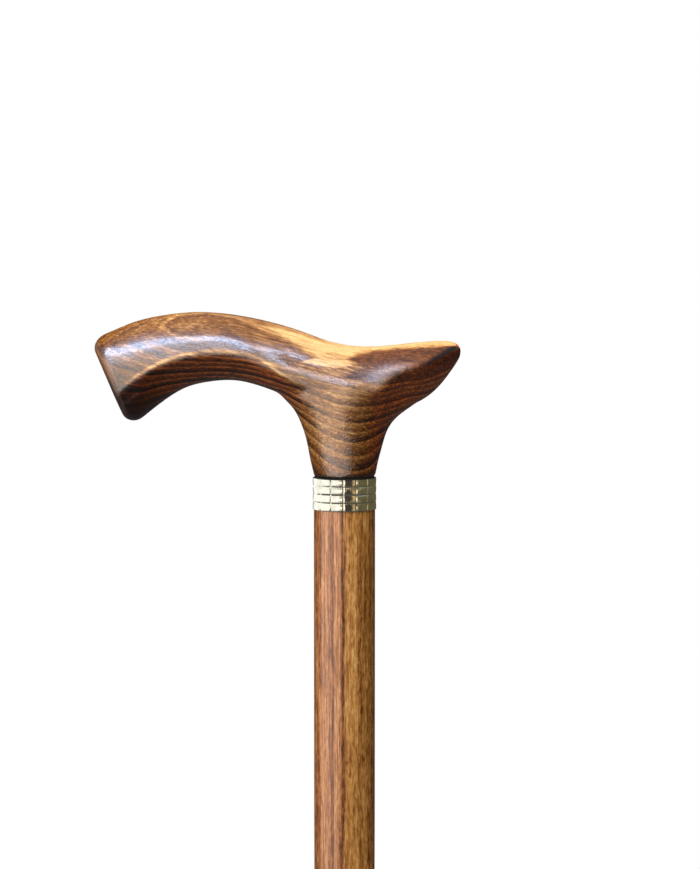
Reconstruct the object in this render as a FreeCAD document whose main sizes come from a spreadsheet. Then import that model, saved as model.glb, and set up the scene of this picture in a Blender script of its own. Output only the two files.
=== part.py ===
"""A wooden walking stick with a derby handle, an engraved metal collar and a rubber ferrule.

Millimetres. +Z is up along the shaft, and the origin is where the shaft's axis meets the ground, under the
ferrule. The handle lies along X: its long grip points to -X and its short beak to +X. The stick is the same
on both sides of the XZ plane, apart from the collar's engraved columns.
"""
import FreeCAD, Part
import os
import re

import Sketcher
from FreeCAD import Rotation, Vector

# Every size that can be set by itself. The sheet holds them, and the features are bound to its cells.
SIZES = {
    # Shaft: one turned length of beech, parallel below the collar and tapered to its tip.
    "shaft_length": 850.0,
    "shaft_diameter": 22.0,
    "tip_diameter": 19.0,
    "parallel_length": 110.0,
    "tip_chamfer": 1.0,
    # Handle: a carved beech derby. Its length runs from the grip's end to the beak's tip.
    "handle_length": 131.0,
    "handle_rise": 59.0,
    "neck_diameter": 22.0,
    "grip_width": 25.0,
    "palm_width": 29.0,
    "beak_width": 25.0,
    "neck_blend_radius": 8.0,
    # Collar: an engraved metal ring that covers the joint.
    "collar_height": 11.2,
    "collar_proud": 0.4,
    "collar_wall": 0.7,
    "collar_edge_chamfer": 0.2,
    "collar_row_height": 2.9,
    "collar_columns": 15,
    "collar_turn": 14.0,
    "engraving_depth": 0.25,
    "engraving_width": 0.6,
    # Black fibre washer that beds the neck on the collar.
    "neck_washer_thickness": 0.6,
    "neck_washer_inset": 0.25,
    # Steel stud that joins the shaft to the handle, and the brass insert that it screws into.
    "stud_diameter": 8.0,
    "stud_length": 64.0,
    "stud_chamfer": 0.8,
    "stud_depth_in_shaft": 34.0,
    "bore_spare_depth": 1.5,
    "insert_length": 20.0,
    "insert_wall": 2.0,
    "insert_flange_width": 1.5,
    "insert_flange_thickness": 1.5,
    "insert_ring_width": 1.2,
    "insert_ring_depth": 0.5,
    "insert_ring_pitch": 3.0,
    "insert_ring_count": 5,
    "glue_gap": 0.05,
    # Rubber ferrule, which pulls off the shaft's tip, and the steel disc in its socket.
    "ferrule_floor": 8.0,
    "ferrule_socket_depth": 34.0,
    "ferrule_wall": 3.2,
    "ferrule_foot_diameter": 40.0,
    "ferrule_foot_height": 9.0,
    "ferrule_edge_chamfer": 1.0,
    "ferrule_cone_height": 12.0,
    "ferrule_ring_width": 1.4,
    "ferrule_ring_depth": 0.8,
    "ferrule_ring_pitch": 4.2,
    "ferrule_ring_count": 3,
    "disc_thickness": 1.5,
    "running_gap": 0.06,
}
SHEET = "Sizes"
FULL_TURN = 360.0
HALF_TURN = 180.0
NECK_STEPS = 8
TOUCH_TOLERANCE = 0.001

# Heights above the ground that several pieces share.
TIP_HEIGHT = "(ferrule_floor + disc_thickness)"
SHAFT_TOP_HEIGHT = f"({TIP_HEIGHT} + shaft_length)"
COLLAR_FOOT_HEIGHT = f"({SHAFT_TOP_HEIGHT} - collar_height)"
HANDLE_FOOT_HEIGHT = f"({SHAFT_TOP_HEIGHT} + neck_washer_thickness)"
STUD_FOOT_HEIGHT = f"({SHAFT_TOP_HEIGHT} - stud_depth_in_shaft)"
STUD_REACH_IN_HANDLE = "(stud_length - stud_depth_in_shaft - neck_washer_thickness)"

# Radii that several pieces share, and the slope of the shaft's taper.
COLLAR_RADIUS = "(shaft_diameter / 2 + collar_proud)"
COLLAR_BORE_RADIUS = f"({COLLAR_RADIUS} - collar_wall)"
STUD_BORE_RADIUS = "(stud_diameter / 2 + glue_gap)"
INSERT_RADIUS = f"({STUD_BORE_RADIUS} + insert_wall)"
TAPER_LENGTH = "(shaft_length - collar_height - parallel_length)"
TAPER_SLOPE = f"((shaft_diameter - tip_diameter) / 2 / {TAPER_LENGTH})"
SOCKET_RADIUS = "(tip_diameter / 2 + running_gap)"

# The handle's outline is in shares: along handle_length from the grip's end, and up handle_rise from the
# neck's foot. The shaft's axis crosses it here.
AXIS_SHARE = 0.680

# Half sections of the handle's bar, from its crown to its underside: (share of half width, share of height).
# The grip is egg-shaped, with an arris a little below its middle, and lower towards its end and towards the
# palm. The palm is round, and the beak's arris is above its middle.
END_HALF_SHARES = [(0.0, 1.0), (0.20, 0.988), (0.36, 0.955), (0.56, 0.885), (0.72, 0.80), (0.85, 0.69),
                   (0.935, 0.56), (0.985, 0.42), (1.0, 0.325), (0.98, 0.285), (0.86, 0.20), (0.62, 0.10),
                   (0.32, 0.03), (0.0, 0.0)]
GRIP_HALF_SHARES = [(0.0, 1.0), (0.19, 0.986), (0.34, 0.952), (0.54, 0.882), (0.695, 0.80), (0.825, 0.70),
                    (0.91, 0.60), (0.967, 0.50), (1.0, 0.415), (0.98, 0.37), (0.87, 0.285), (0.64, 0.16),
                    (0.33, 0.045), (0.0, 0.0)]
WAIST_HALF_SHARES = [(0.0, 1.0), (0.19, 0.985), (0.34, 0.95), (0.54, 0.875), (0.70, 0.79), (0.83, 0.68),
                     (0.915, 0.575), (0.97, 0.46), (1.0, 0.365), (0.98, 0.32), (0.87, 0.24), (0.64, 0.13),
                     (0.33, 0.035), (0.0, 0.0)]
PALM_HALF_SHARES = [(0.0, 1.0), (0.20, 0.985), (0.38, 0.945), (0.58, 0.87), (0.76, 0.77), (0.89, 0.65),
                    (0.97, 0.52), (1.0, 0.40), (0.99, 0.33), (0.955, 0.265), (0.84, 0.175), (0.62, 0.09),
                    (0.32, 0.025), (0.0, 0.0)]
BEAK_HALF_SHARES = [(0.0, 1.0), (0.20, 0.992), (0.38, 0.968), (0.60, 0.91), (0.79, 0.83), (0.91, 0.745),
                    (0.975, 0.67), (1.0, 0.61), (0.98, 0.56), (0.87, 0.445), (0.71, 0.31), (0.50, 0.165),
                    (0.26, 0.045), (0.0, 0.0)]

# Stations of the bar from the grip's end to the beak's tip: crown point, underside point, the width that
# the station follows, the share of that width, and its half section.
BAR_STATION_SHARES = [
    ((0.006, 0.752), (0.074, 0.392), "grip_width", 0.84, END_HALF_SHARES),
    ((0.000, 0.788), (0.085, 0.362), "grip_width", 0.94, END_HALF_SHARES),
    ((0.004, 0.820), (0.098, 0.350), "grip_width", 0.97, END_HALF_SHARES),
    ((0.045, 0.886), (0.139, 0.386), "grip_width", 1.00, END_HALF_SHARES),
    ((0.102, 0.938), (0.181, 0.458), "grip_width", 1.00, GRIP_HALF_SHARES),
    ((0.184, 0.981), (0.243, 0.542), "grip_width", 0.98, GRIP_HALF_SHARES),
    ((0.280, 1.000), (0.312, 0.580), "grip_width", 0.96, GRIP_HALF_SHARES),
    ((0.381, 0.982), (0.384, 0.585), "grip_width", 0.96, GRIP_HALF_SHARES),
    ((0.471, 0.942), (0.458, 0.543), "palm_width", 0.81, WAIST_HALF_SHARES),
    ((0.559, 0.884), (0.540, 0.475), "palm_width", 0.86, PALM_HALF_SHARES),
    ((0.627, 0.828), (0.617, 0.425), "palm_width", 0.92, PALM_HALF_SHARES),
    ((0.686, 0.796), (0.690, 0.400), "palm_width", 0.97, PALM_HALF_SHARES),
    ((0.750, 0.786), (0.762, 0.398), "palm_width", 1.00, PALM_HALF_SHARES),
    ((0.812, 0.794), (0.834, 0.410), "palm_width", 0.96, BEAK_HALF_SHARES),
    ((0.865, 0.806), (0.896, 0.460), "beak_width", 1.00, BEAK_HALF_SHARES),
    ((0.914, 0.815), (0.944, 0.546), "beak_width", 0.76, BEAK_HALF_SHARES),
    ((0.955, 0.818), (0.975, 0.632), "beak_width", 0.53, BEAK_HALF_SHARES),
    ((0.984, 0.808), (0.993, 0.690), "beak_width", 0.34, BEAK_HALF_SHARES),
    ((1.000, 0.780), (1.002, 0.730), "beak_width", 0.16, BEAK_HALF_SHARES),
]

# How far the neck reaches along the bar on either side of the axis where it has run into it, and how much
# narrower than an ellipse it grows on the beak side, where the bar narrows.
GRIP_SIDE_REACH_SHARE = 0.200
BEAK_SIDE_REACH_SHARE = 0.245
BEAK_SIDE_PINCH_SHARE = 0.450
# Level sections of the neck, from its foot up into the bar: share of handle_rise, shares of the way from
# the neck's radius to its reach on the grip side and on the beak side, and to half of palm_width, and the
# share that is left of that width where the neck tucks in under the bar's skin.
NECK_STATION_SHARES = [
    (0.000, 0.000, 0.000, 0.00, 1.00),
    (0.060, 0.050, 0.035, 0.03, 1.00),
    (0.132, 0.110, 0.085, 0.09, 1.00),
    (0.205, 0.164, 0.142, 0.17, 1.00),
    (0.278, 0.243, 0.213, 0.31, 1.00),
    (0.351, 0.355, 0.360, 0.50, 1.00),
    (0.424, 0.526, 0.635, 0.72, 1.00),
    (0.496, 0.783, 0.820, 0.88, 0.985),
    (0.560, 0.880, 0.640, 0.96, 0.950),
    (0.620, 0.860, 0.460, 0.96, 0.880),
    (0.680, 0.760, 0.300, 0.96, 0.740),
]


def bound(text):
    """Returns the expression with the sheet's cell in place of each size's name."""
    return re.sub(r"[a-z_]+", lambda found: f"{SHEET}.{found[0]}" if found[0] in SIZES else found[0], text)


def size_sheet(doc):
    """Adds the spreadsheet that holds each driving size under its own alias."""
    sheet = doc.addObject("Spreadsheet::Sheet", SHEET)
    for row, (alias, value) in enumerate(SIZES.items(), start=1):
        sheet.set(f"A{row}", alias)
        sheet.set(f"B{row}", str(value))
        sheet.setAlias(f"B{row}", alias)
    doc.recompute()
    return sheet


def origin_feature(body, role):
    """Returns one of the body's own origin planes or axes."""
    return next(feature for feature in body.Origin.OriginFeatures if feature.Role == role)


def new_body(doc, label, foot_height="0"):
    """Adds a body whose own z = 0 stands at the given height above the ground."""
    body = doc.addObject("PartDesign::Body", label)
    body.Label = label
    body.setExpression("Placement.Base.z", bound(foot_height))
    return body


def outline_sketch(body, name, plane_role, corners):
    """Adds a closed outline of straight lines to one of the body's origin planes.

    Each corner is a pair of expressions, and is dimensioned from the sketch's origin.
    """
    sketch = body.newObject("Sketcher::SketchObject", name)
    sketch.AttachmentSupport = [(origin_feature(body, plane_role), "")]
    sketch.MapMode = "FlatFace"
    # The lines start as a unit polygon, and the dimensions bring each corner to its place.
    rough = [Rotation(Vector(0, 0, 1), FULL_TURN * k / len(corners)).multVec(Vector(1, 0, 0))
             for k in range(len(corners))]
    for start, end in zip(rough, rough[1:] + rough[:1]):
        sketch.addGeometry(Part.LineSegment(start, end))
    for k in range(len(corners)):
        sketch.addConstraint(Sketcher.Constraint("Coincident", k, 2, (k + 1) % len(corners), 1))
    for k, corner in enumerate(corners):
        for kind, text, value in zip(("DistanceX", "DistanceY"), corner, rough[k]):
            index = sketch.addConstraint(Sketcher.Constraint(kind, -1, 1, k, 1, value))
            sketch.setExpression(f"Constraints[{index}]", bound(text))
    return sketch


def revolved(body, corners):
    """Turns an outline of (radius, height) corners about the body's own Z axis."""
    sketch = outline_sketch(body, f"{body.Label}_outline", "XZ_Plane", corners)
    revolution = body.newObject("PartDesign::Revolution", f"{body.Label}_turned")
    revolution.Profile = sketch
    revolution.ReferenceAxis = (sketch, ["V_Axis"])
    revolution.Angle = FULL_TURN
    return revolution


def ring_groove(body, name, corners):
    """Cuts an outline of (radius, height) corners all round the body's own Z axis."""
    sketch = outline_sketch(body, f"{name}_outline", "XZ_Plane", corners)
    groove = body.newObject("PartDesign::Groove", name)
    groove.Profile = sketch
    groove.ReferenceAxis = (sketch, ["V_Axis"])
    groove.Angle = FULL_TURN
    return groove


def repeated_up(body, feature, name, pitch, count):
    """Repeats a feature upward along the body's own Z axis."""
    pattern = body.newObject("PartDesign::LinearPattern", name)
    pattern.Originals = [feature]
    pattern.Direction = (origin_feature(body, "Z_Axis"), [""])
    pattern.setExpression("Length", bound(f"{pitch} * ({count} - 1)"))
    pattern.setExpression("Occurrences", bound(count))
    body.Tip = pattern
    return pattern


def box_section(inner, outer, low, high):
    """Returns the four corners of a rectangular section between two radii and two heights."""
    return [(inner, low), (outer, low), (outer, high), (inner, high)]


def shaft(doc):
    """The turned beech shaft: a chamfered tip, a long taper, and a spigot bored for the stud."""
    body = new_body(doc, "shaft", TIP_HEIGHT)
    shoulder = "shaft_length - collar_height"
    spigot_radius = f"{COLLAR_BORE_RADIUS} - glue_gap"
    bore_foot = "shaft_length - stud_depth_in_shaft - bore_spare_depth"
    revolved(body, [
        ("0", "0"),
        ("tip_diameter / 2 - tip_chamfer", "0"),
        (f"tip_diameter / 2 + {TAPER_SLOPE} * tip_chamfer", "tip_chamfer"),
        ("shaft_diameter / 2", TAPER_LENGTH),
        ("shaft_diameter / 2", shoulder),
        (spigot_radius, shoulder),
        (spigot_radius, "shaft_length"),
        (STUD_BORE_RADIUS, "shaft_length"),
        (STUD_BORE_RADIUS, bore_foot),
        ("0", bore_foot),
    ])
    return body


def collar(doc):
    """The metal ring on the shaft's spigot, engraved with ring grooves and upright grooves."""
    body = new_body(doc, "collar", COLLAR_FOOT_HEIGHT)
    revolved(body, [
        (COLLAR_BORE_RADIUS, "0"),
        (f"{COLLAR_RADIUS} - collar_edge_chamfer", "0"),
        (COLLAR_RADIUS, "collar_edge_chamfer"),
        (COLLAR_RADIUS, "collar_height - collar_edge_chamfer"),
        (f"{COLLAR_RADIUS} - collar_edge_chamfer", "collar_height"),
        (COLLAR_BORE_RADIUS, "collar_height"),
    ])
    doc.recompute()
    # A vee that is as wide as the engraving at the surface, and twice as wide at its depth outside it.
    for place, height in (("low", "collar_height / 2 - collar_row_height"), ("middle", "collar_height / 2"),
                          ("high", "collar_height / 2 + collar_row_height")):
        ring_groove(body, f"collar_{place}_ring", [
            (f"{COLLAR_RADIUS} - engraving_depth", height),
            (f"{COLLAR_RADIUS} + engraving_depth", f"{height} - engraving_width"),
            (f"{COLLAR_RADIUS} + engraving_depth", f"{height} + engraving_width"),
        ])
    doc.recompute()
    upright = body.newObject("PartDesign::Pocket", "collar_upright")
    upright.Profile = outline_sketch(body, "collar_upright_outline", "XY_Plane", [
        ("0", f"-({COLLAR_RADIUS} - engraving_depth)"),
        ("-engraving_width", f"-({COLLAR_RADIUS} + engraving_depth)"),
        ("engraving_width", f"-({COLLAR_RADIUS} + engraving_depth)"),
    ])
    upright.Reversed = True
    upright.setExpression("Length", bound("collar_height"))
    doc.recompute()
    columns = body.newObject("PartDesign::PolarPattern", "collar_columns")
    columns.Originals = [upright]
    columns.Axis = (origin_feature(body, "Z_Axis"), [""])
    columns.Angle = FULL_TURN
    columns.setExpression("Occurrences", bound("collar_columns"))
    body.Tip = columns
    body.setExpression("Placement.Rotation.Angle", bound("collar_turn"))
    return body


def neck_washer(doc):
    """The black fibre washer between the shaft's top and the neck, which shows as a dark line."""
    body = new_body(doc, "neck_washer", SHAFT_TOP_HEIGHT)
    revolved(body, box_section(STUD_BORE_RADIUS, "neck_diameter / 2 - neck_washer_inset",
                               "0", "neck_washer_thickness"))
    return body


def joining_stud(doc):
    """The steel stud, glued into the shaft and screwed into the handle's insert."""
    body = new_body(doc, "joining_stud", STUD_FOOT_HEIGHT)
    revolved(body, [
        ("0", "0"),
        ("stud_diameter / 2 - stud_chamfer", "0"),
        ("stud_diameter / 2", "stud_chamfer"),
        ("stud_diameter / 2", "stud_length - stud_chamfer"),
        ("stud_diameter / 2 - stud_chamfer", "stud_length"),
        ("0", "stud_length"),
    ])
    return body


def handle_insert(doc):
    """The brass insert in the neck: a flange at its foot and gripping rings round its barrel."""
    body = new_body(doc, "handle_insert", HANDLE_FOOT_HEIGHT)
    flange_radius = f"{INSERT_RADIUS} + insert_flange_width"
    revolved(body, [
        (STUD_BORE_RADIUS, "0"),
        (flange_radius, "0"),
        (flange_radius, "insert_flange_thickness"),
        (INSERT_RADIUS, "insert_flange_thickness"),
        (INSERT_RADIUS, "insert_length"),
        (STUD_BORE_RADIUS, "insert_length"),
    ])
    doc.recompute()
    groove_foot = "insert_flange_thickness + insert_ring_width"
    groove = ring_groove(body, "insert_ring", box_section(
        f"{INSERT_RADIUS} - insert_ring_depth", f"{INSERT_RADIUS} + insert_ring_depth",
        groove_foot, f"{groove_foot} + insert_ring_width"))
    doc.recompute()
    repeated_up(body, groove, "insert_rings", "insert_ring_pitch", "insert_ring_count")
    return body


def ferrule(doc):
    """The rubber ferrule: a ringed socket on a flared foot with a flat tread."""
    body = new_body(doc, "ferrule")
    mouth = f"{TIP_HEIGHT} + ferrule_socket_depth"
    mouth_radius = f"{SOCKET_RADIUS} + {TAPER_SLOPE} * ferrule_socket_depth"
    barrel_radius = f"({mouth_radius} + ferrule_wall)"
    revolved(body, [
        ("0", "0"),
        ("ferrule_foot_diameter / 2 - ferrule_edge_chamfer", "0"),
        ("ferrule_foot_diameter / 2", "ferrule_edge_chamfer"),
        ("ferrule_foot_diameter / 2", "ferrule_foot_height"),
        (barrel_radius, "ferrule_foot_height + ferrule_cone_height"),
        (barrel_radius, f"{mouth} - ferrule_edge_chamfer"),
        (f"{barrel_radius} - ferrule_edge_chamfer", mouth),
        (mouth_radius, mouth),
        (SOCKET_RADIUS, TIP_HEIGHT),
        (SOCKET_RADIUS, "ferrule_floor"),
        ("0", "ferrule_floor"),
    ])
    doc.recompute()
    ring_foot = "ferrule_foot_height + ferrule_cone_height + ferrule_ring_width"
    ring = ring_groove(body, "ferrule_ring", box_section(
        f"{barrel_radius} - ferrule_ring_depth", f"{barrel_radius} + ferrule_ring_depth",
        ring_foot, f"{ring_foot} + ferrule_ring_width"))
    doc.recompute()
    repeated_up(body, ring, "ferrule_rings", "ferrule_ring_pitch", "ferrule_ring_count")
    return body


def ferrule_disc(doc):
    """The steel disc on the socket's floor, which keeps the shaft from cutting through the rubber."""
    body = new_body(doc, "ferrule_disc", "ferrule_floor")
    revolved(body, box_section("0", "tip_diameter / 2", "0", "disc_thickness"))
    return body


def closed_curve(points):
    """Returns a wire of one smooth closed curve through the points."""
    curve = Part.BSplineCurve()
    curve.interpolate(Points=points, PeriodicFlag=True)
    return Part.Wire(curve.toShape())


def both_sides(half):
    """Returns the half section's points, which start and end on the XZ plane, with their mirror images."""
    return half + [Vector(p.x, -p.y, p.z) for p in reversed(half[1:-1])]


def handle_bar(sheet):
    """Lofts the bar of the handle, from the grip's end to the beak's tip, with the neck's foot at z = 0."""
    wires = []
    for crown_shares, underside_shares, width, width_share, half_shares in BAR_STATION_SHARES:
        crown, underside = (Vector((along - AXIS_SHARE) * sheet.handle_length, 0, up * sheet.handle_rise)
                            for along, up in (crown_shares, underside_shares))
        half_width = sheet.get(width) / 2 * width_share
        half = [underside + (crown - underside) * up + Vector(0, half_width * out, 0)
                for out, up in half_shares]
        wires.append(closed_curve(both_sides(half)))
    return Part.makeLoft(wires, True)


def handle_neck(sheet):
    """Lofts the neck from its round foot up into the bar."""
    neck_radius = sheet.neck_diameter / 2
    half_palm = sheet.palm_width / 2
    wires = []
    for up_share, grip_share, beak_share, width_share, tuck_share in NECK_STATION_SHARES:
        reaches = [neck_radius + share * (side_share * sheet.handle_length - neck_radius)
                   for share, side_share in ((grip_share, GRIP_SIDE_REACH_SHARE),
                                             (beak_share, BEAK_SIDE_REACH_SHARE))]
        half_width = (neck_radius + width_share * (half_palm - neck_radius)) * tuck_share
        height = up_share * sheet.handle_rise
        half = []
        for step in range(NECK_STEPS + 1):
            direction = Rotation(Vector(0, 0, 1), HALF_TURN * step / NECK_STEPS).multVec(Vector(1, 0, 0))
            toward_beak = max(direction.x, 0)
            reach = reaches[1] if toward_beak else reaches[0]
            pinch = BEAK_SIDE_PINCH_SHARE * beak_share * toward_beak ** 2
            half.append(Vector(reach * direction.x, half_width * direction.y * (1 - pinch), height))
        wires.append(closed_curve(both_sides(half)))
    return Part.makeLoft(wires, True)


def seam_edges(whole, pieces):
    """Returns the edges of a fused shape that lie on the skins of both pieces that were fused."""
    found = []
    for edge in whole.Edges:
        middle = Part.Vertex(edge.valueAt(sum(edge.ParameterRange) / 2))
        if all(piece.Shells[0].distToShape(middle)[0] < TOUCH_TOLERANCE for piece in pieces):
            found.append(edge)
    return found


def handle_blank(sheet):
    """Joins the bar and the neck, and blends the seam between them."""
    lofts = [handle_bar(sheet), handle_neck(sheet)]
    whole = lofts[0].fuse(lofts[1])
    return whole.makeFillet(sheet.neck_blend_radius, seam_edges(whole, lofts))


def bore(doc, name, radius, foot, depth):
    """Adds an upright cylinder on the shaft's axis that bores the handle."""
    cylinder = doc.addObject("Part::Cylinder", name)
    cylinder.setExpression("Radius", bound(radius))
    cylinder.setExpression("Height", bound(depth))
    cylinder.setExpression("Placement.Base.z", bound(foot))
    return cylinder


def handle(doc, sheet):
    """The carved derby handle, in one piece of beech, bored for the insert and the stud."""
    blank = doc.addObject("Part::Feature", "handle_blank")
    blank.Shape = handle_blank(sheet)
    blank.setExpression("Placement.Base.z", bound(HANDLE_FOOT_HEIGHT))
    bores = doc.addObject("Part::MultiFuse", "handle_bores")
    bores.Shapes = [
        bore(doc, "flange_seat", f"{INSERT_RADIUS} + insert_flange_width + glue_gap",
             f"{HANDLE_FOOT_HEIGHT} - insert_flange_thickness", "2 * insert_flange_thickness"),
        bore(doc, "insert_bore", f"{INSERT_RADIUS} + glue_gap", HANDLE_FOOT_HEIGHT, "insert_length"),
        bore(doc, "stud_bore", STUD_BORE_RADIUS, HANDLE_FOOT_HEIGHT,
             f"{STUD_REACH_IN_HANDLE} + bore_spare_depth"),
    ]
    piece = doc.addObject("Part::Cut", "handle")
    piece.Label = "handle"
    piece.Base = blank
    piece.Tool = bores
    return piece


def check(doc, pieces):
    """Stops if any object of the document failed or any piece is not one valid solid."""
    for item in doc.Objects:
        if "Invalid" in item.State or "Error" in item.State:
            raise RuntimeError(f"{item.Name} failed: {item.State}")
    for piece in pieces:
        shape = piece.Shape
        if shape.isNull() or not shape.isValid() or len(shape.Solids) != 1:
            raise RuntimeError(f"{piece.Label} is not one valid solid")
        print(f"{piece.Label}: {shape.Volume:.1f} mm3, {shape.BoundBox}")


def main():
    """Builds the walking stick and writes each piece to its own file."""
    os.makedirs("parts", exist_ok=True)
    doc = FreeCAD.newDocument("walking_stick")
    sheet = size_sheet(doc)
    pieces = [handle(doc, sheet)]
    pieces += [make(doc) for make in (handle_insert, joining_stud, neck_washer, collar, shaft, ferrule,
                                      ferrule_disc)]
    doc.recompute()
    check(doc, pieces)
    for piece in pieces:
        piece.Shape.exportStep(f"parts/{piece.Label}.step")


main()
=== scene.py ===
"""Dresses the walking stick: its carved handle, metal collar, wooden shaft and rubber ferrule.

Metres, in the part's own frame: +Z is up along the shaft, the origin is where the shaft's axis meets the
ground, the long grip points to -X and the short beak to +X. The camera stands in front, on the -Y side.
"""
import logging
import math
from dataclasses import dataclass, field
from enum import Enum
from typing import Any, Callable, Sequence

import bpy
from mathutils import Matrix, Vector


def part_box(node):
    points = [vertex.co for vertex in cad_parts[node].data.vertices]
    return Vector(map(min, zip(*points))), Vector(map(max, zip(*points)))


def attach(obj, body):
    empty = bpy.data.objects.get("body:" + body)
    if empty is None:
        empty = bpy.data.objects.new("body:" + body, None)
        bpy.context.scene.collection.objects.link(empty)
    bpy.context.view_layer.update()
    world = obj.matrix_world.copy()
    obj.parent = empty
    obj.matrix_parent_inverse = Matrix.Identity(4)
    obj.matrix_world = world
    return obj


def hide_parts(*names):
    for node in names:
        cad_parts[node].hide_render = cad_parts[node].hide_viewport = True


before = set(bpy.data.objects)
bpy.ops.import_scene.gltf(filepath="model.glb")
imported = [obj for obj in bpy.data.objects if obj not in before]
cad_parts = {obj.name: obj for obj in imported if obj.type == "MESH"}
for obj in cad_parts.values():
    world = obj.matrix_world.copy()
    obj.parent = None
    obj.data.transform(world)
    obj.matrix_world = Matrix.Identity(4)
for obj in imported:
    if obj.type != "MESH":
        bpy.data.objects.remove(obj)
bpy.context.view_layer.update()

log = logging.getLogger("walking_stick")

MM = 0.001
NEAR = 1e-6
SMOOTH_ANGLE = math.radians(40.0)
VARNISH_ROUGHNESS = 0.12

Colour = tuple[float, float, float]
Point = tuple[float, float, float]
Table = Sequence[tuple[float, float]]
Stops = Sequence[tuple[float, Colour]]

# The names of the pieces that mirror boards of their own.
HANDLE = "carved_handle"
SHAFT = "turned_shaft"
COLLAR = "engraved_collar"

# Sockets of Blender's nodes that are reached by their number.
COORDINATE_GENERATED = 0
COORDINATE_OBJECT = 3
RAY_CAMERA = 0
RAY_GLOSSY = 3
RAY_TRANSMISSION = 6
MIX_FIRST = 6
MIX_SECOND = 7
MIX_RESULT = 2


class Body(Enum):
    """The two bodies of the part."""

    STICK = "stick"
    FERRULE = "ferrule"


# Shader expressions


def math_operator(operation: str) -> Callable[["Value", Any], "Value"]:
    """Returns a method that makes one Math node of a kind from a value and another."""

    def method(self: "Value", other: Any) -> "Value":
        """Returns the result of the Math node."""
        return self.math(operation, other)

    return method


class Value:
    """A socket's value in a node tree, with Python's operators as Math nodes."""

    __add__ = __radd__ = math_operator("ADD")
    __mul__ = __rmul__ = math_operator("MULTIPLY")
    __sub__ = math_operator("SUBTRACT")
    __truediv__ = math_operator("DIVIDE")
    __pow__ = math_operator("POWER")
    least = math_operator("MINIMUM")
    most = math_operator("MAXIMUM")

    def __init__(self, tree: "Shader", socket: Any) -> None:
        """Wraps a socket or a plain number of the given shader."""
        self.tree = tree
        self.socket = socket

    def math(self, operation: str, *others: Any) -> "Value":
        """Returns the result of one Math node on this value and the others."""
        values = dict(enumerate((self, *others)))
        return self.tree.node("ShaderNodeMath", {"operation": operation}, values)[0]

    def __rsub__(self, other: Any) -> "Value":
        """Returns the other less this."""
        return Value(self.tree, other) - self

    def size(self) -> "Value":
        """Returns the value without its sign."""
        return self.math("ABSOLUTE")

    def step(self, low: float, high: float) -> "Value":
        """Returns a smooth step from 0 at low to 1 at high, which may be below low."""
        if low > high:
            return 1.0 - self.step(high, low)
        settings = {"interpolation_type": "SMOOTHSTEP"}
        inputs = {"Value": self, "From Min": low, "From Max": high}
        return self.tree.node("ShaderNodeMapRange", settings, inputs)[0]

    def hump(self, centre: float, half_width: float) -> "Value":
        """Returns a smooth hump that is 1 at the centre and 0 past the half width."""
        return (self - centre).size().step(half_width, 0.0)

    def toward(self, target: Any, share: "Value") -> "Value":
        """Returns the value moved towards a target, by a share of the way."""
        return self + share * (target - self)


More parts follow.
